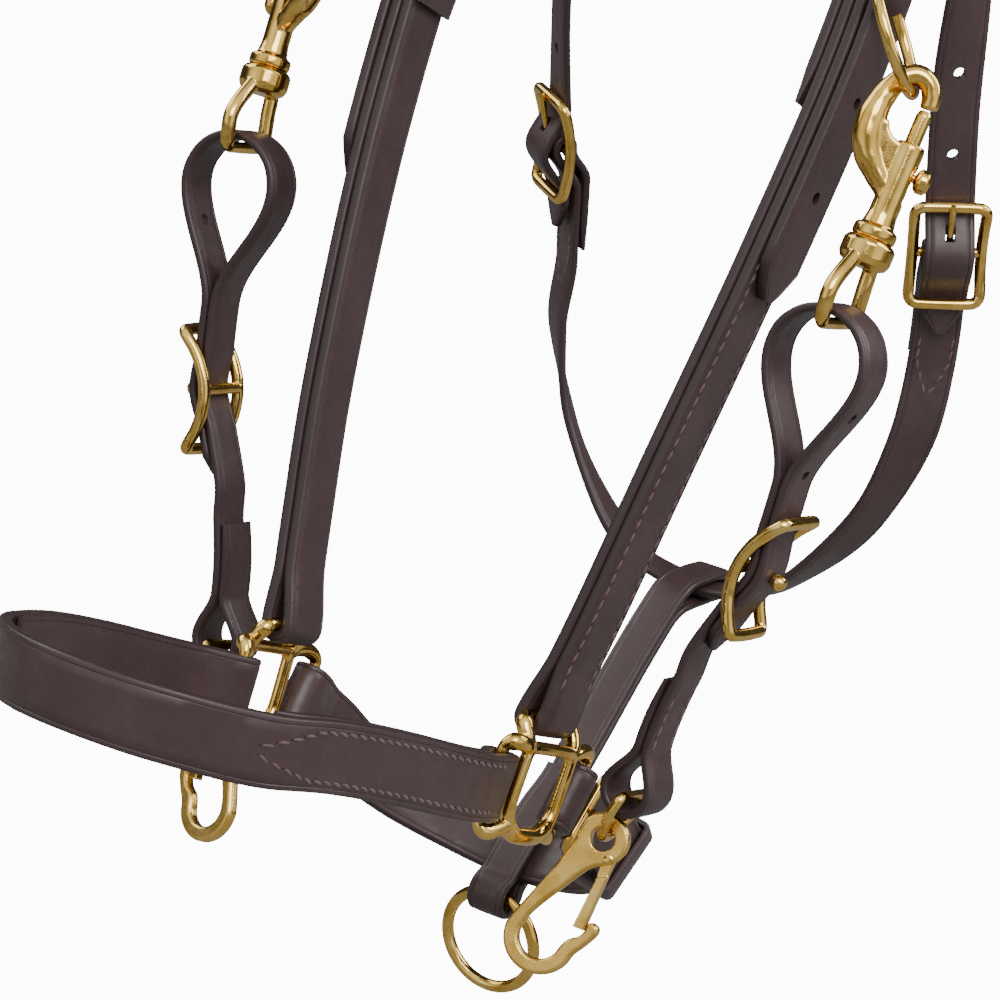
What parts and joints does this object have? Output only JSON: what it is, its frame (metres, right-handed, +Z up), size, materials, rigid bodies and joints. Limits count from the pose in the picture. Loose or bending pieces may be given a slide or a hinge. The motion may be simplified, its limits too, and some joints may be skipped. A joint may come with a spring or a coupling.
{
  "type": "horse headcollar",
  "caption": "Buckled leather headcollar with brass fittings, halter squares, cheek rings and a pair of clip-on bit straps.",
  "frame": {"origin": "underside of the crown on the centre line, where it lies on the poll", "axes": "+Z up, -X towards the nose, -Y the horse's near (left) side"},
  "size_m": [0.4378, 0.294, 0.5606],
  "materials": {
    "leather": "waxed dark havana, satin",
    "brass": "polished cast solid brass",
    "spring_steel": "bright wire"
  },
  "bodies": {
    "headcollar": {"noseband_front": "leather", "crownpiece": "leather", "throat_strap": "leather", "chin_billet": "leather", "chin_strap": "leather", "jowl_strap": "leather", "near_chin_buckle": "brass", "near_chin_keeper": "leather", "near_halter_square": "brass", "near_cheekpiece": "leather", "near_crown_buckle": "brass", "near_crown_keeper": "leather", "near_throat_buckle": "brass", "near_ring_tab": "leather", "off_halter_square": "brass", "off_cheekpiece": "leather", "off_crown_buckle": "brass", "off_crown_keeper": "leather", "off_throat_buckle": "brass", "off_ring_tab": "leather"},
    "near_ring": {"near_cheek_ring": "brass"},
    "near_snap": {"near_bolt_snap": "brass", "near_snap_bolt_spring": "spring_steel"},
    "near_bolt": {"near_snap_bolt": "brass"},
    "near_eye": {"near_swivel_eye": "brass"},
    "near_bit_strap": {"near_bit_strap": "leather", "near_conway_buckle": "brass"},
    "near_link": {"near_bit_link": "brass"},
    "near_clip": {"near_clip": "brass", "near_clip_pin": "brass"},
    "near_gate": {"near_clip_gate": "brass"},
    "near_crown_tongue": {"near_crown_tongue": "brass"},
    "near_throat_tongue": {"near_throat_tongue": "brass"},
    "off_ring": {"off_cheek_ring": "brass"},
    "off_snap": {"off_bolt_snap": "brass", "off_snap_bolt_spring": "spring_steel"},
    "off_bolt": {"off_snap_bolt": "brass"},
    "off_eye": {"off_swivel_eye": "brass"},
    "off_bit_strap": {"off_bit_strap": "leather", "off_conway_buckle": "brass"},
    "off_link": {"off_bit_link": "brass"},
    "off_clip": {"off_clip": "brass", "off_clip_pin": "brass"},
    "off_gate": {"off_clip_gate": "brass"},
    "off_crown_tongue": {"off_crown_tongue": "brass"},
    "off_throat_tongue": {"off_throat_tongue": "brass"},
    "near_chin_tongue": {"near_chin_tongue": "brass"},
    "chin_ring": {"chin_ring": "brass"}
  },
  "joints": [
    {"name": "near_ring_swing", "type": "hinge", "parent": "headcollar", "child": "near_ring", "pos_m": [-0.07532, -0.10475, -0.13613], "axis": [0.6775, -0.1396, -0.7221], "range_deg": [-25, 0], "stiffness_Nm_per_rad": 0.05},
    {"name": "near_snap_swing", "type": "hinge", "parent": "near_ring", "child": "near_snap", "pos_m": [-0.0888, -0.1268, -0.16507], "axis": [0.9433, 0.2954, -0.1512], "range_deg": [-12, 1], "stiffness_Nm_per_rad": 0.05},
    {"name": "near_snap_bolt_travel", "type": "slide", "parent": "near_snap", "child": "near_bolt", "axis": [-0.3304, 0.0675, -0.9414], "range_m": [0, 0.008], "stiffness_N_per_m": 400, "deforming": ["near_snap_bolt_spring"]},
    {"name": "near_eye_swivel", "type": "hinge", "parent": "near_snap", "child": "near_eye", "pos_m": [-0.10433, -0.12906, -0.21945], "axis": [0.3304, -0.0675, 0.9414], "range_deg": [-20, 6], "stiffness_Nm_per_rad": 0.05},
    {"name": "near_bit_strap_swing", "type": "hinge", "parent": "near_eye", "child": "near_bit_strap", "pos_m": [-0.11309, -0.12727, -0.24439], "axis": [-0.9938, 0.0245, 0.1084], "range_deg": [-1, 15], "stiffness_Nm_per_rad": 0.05},
    {"name": "near_link_swing", "type": "hinge", "parent": "near_bit_strap", "child": "near_link", "pos_m": [-0.12687, -0.09141, -0.42782], "axis": [0.9801, 0.1005, -0.1709], "range_deg": [-25, 12], "stiffness_Nm_per_rad": 0.05},
    {"name": "near_clip_swing", "type": "hinge", "parent": "near_link", "child": "near_clip", "pos_m": [-0.13059, -0.08469, -0.4452], "axis": [0.9801, 0.1005, -0.1709], "range_deg": [-25, 25], "stiffness_Nm_per_rad": 0.05},
    {"name": "near_clip_gate_open", "type": "hinge", "parent": "near_clip", "child": "near_gate", "pos_m": [-0.13183, -0.08881, -0.45248], "axis": [-0.9204, -0.2516, 0.2994], "range_deg": [-22, 0], "stiffness_Nm_per_rad": 0.05},
    {"name": "near_crown_tongue_lift", "type": "hinge", "parent": "headcollar", "child": "near_crown_tongue", "pos_m": [-0.04474, -0.08582, -0.10257], "axis": [0.9444, -0.0464, -0.3254], "range_deg": [0, 5], "stiffness_Nm_per_rad": 0.05},
    {"name": "near_throat_tongue_lift", "type": "hinge", "parent": "headcollar", "child": "near_throat_tongue", "pos_m": [0.04906, -0.08867, -0.24334], "axis": [0.5447, -0.8276, 0.1356], "range_deg": [0, 5], "stiffness_Nm_per_rad": 0.05},
    {"name": "off_ring_swing", "type": "hinge", "parent": "headcollar", "child": "off_ring", "pos_m": [-0.07532, 0.10475, -0.13613], "axis": [-0.6775, -0.1396, 0.7221], "range_deg": [-25, 0], "stiffness_Nm_per_rad": 0.05},
    {"name": "off_snap_swing", "type": "hinge", "parent": "off_ring", "child": "off_snap", "pos_m": [-0.0888, 0.1268, -0.16507], "axis": [-0.9433, 0.2954, 0.1512], "range_deg": [-12, 1], "stiffness_Nm_per_rad": 0.05},
    {"name": "off_snap_bolt_travel", "type": "slide", "parent": "off_snap", "child": "off_bolt", "axis": [-0.3304, -0.0675, -0.9414], "range_m": [0, 0.008], "stiffness_N_per_m": 400, "deforming": ["off_snap_bolt_spring"]},
    {"name": "off_eye_swivel", "type": "hinge", "parent": "off_snap", "child": "off_eye", "pos_m": [-0.10433, 0.12906, -0.21945], "axis": [-0.3304, -0.0675, -0.9414], "range_deg": [-20, 6], "stiffness_Nm_per_rad": 0.05},
    {"name": "off_bit_strap_swing", "type": "hinge", "parent": "off_eye", "child": "off_bit_strap", "pos_m": [-0.11309, 0.12727, -0.24439], "axis": [0.9938, 0.0245, -0.1084], "range_deg": [-1, 15], "stiffness_Nm_per_rad": 0.05},
    {"name": "off_link_swing", "type": "hinge", "parent": "off_bit_strap", "child": "off_link", "pos_m": [-0.12687, 0.09141, -0.42782], "axis": [-0.9801, 0.1005, 0.1709], "range_deg": [-25, 12], "stiffness_Nm_per_rad": 0.05},
    {"name": "off_clip_swing", "type": "hinge", "parent": "off_link", "child": "off_clip", "pos_m": [-0.13059, 0.08469, -0.4452], "axis": [-0.9801, 0.1005, 0.1709], "range_deg": [-25, 25], "stiffness_Nm_per_rad": 0.05},
    {"name": "off_clip_gate_open", "type": "hinge", "parent": "off_clip", "child": "off_gate", "pos_m": [-0.13183, 0.08881, -0.45248], "axis": [0.9204, -0.2516, -0.2994], "range_deg": [-22, 0], "stiffness_Nm_per_rad": 0.05},
    {"name": "off_crown_tongue_lift", "type": "hinge", "parent": "headcollar", "child": "off_crown_tongue", "pos_m": [-0.04474, 0.08582, -0.10257], "axis": [-0.9444, -0.0464, 0.3254], "range_deg": [0, 5], "stiffness_Nm_per_rad": 0.05},
    {"name": "off_throat_tongue_lift", "type": "hinge", "parent": "headcollar", "child": "off_throat_tongue", "pos_m": [0.04906, 0.08867, -0.24334], "axis": [-0.5447, -0.8276, -0.1356], "range_deg": [0, 5], "stiffness_Nm_per_rad": 0.05},
    {"name": "near_chin_tongue_lift", "type": "hinge", "parent": "headcollar", "child": "near_chin_tongue", "pos_m": [-0.08776, -0.05533, -0.46057], "axis": [0.5944, -0.0593, 0.802], "range_deg": [0, 5], "stiffness_Nm_per_rad": 0.05},
    {"name": "chin_ring_swing", "type": "hinge", "parent": "headcollar", "child": "chin_ring", "pos_m": [-0.05086, 0, -0.51477], "axis": [0, 1, 0], "range_deg": [-20, 20], "stiffness_Nm_per_rad": 0.05}
  ]
}
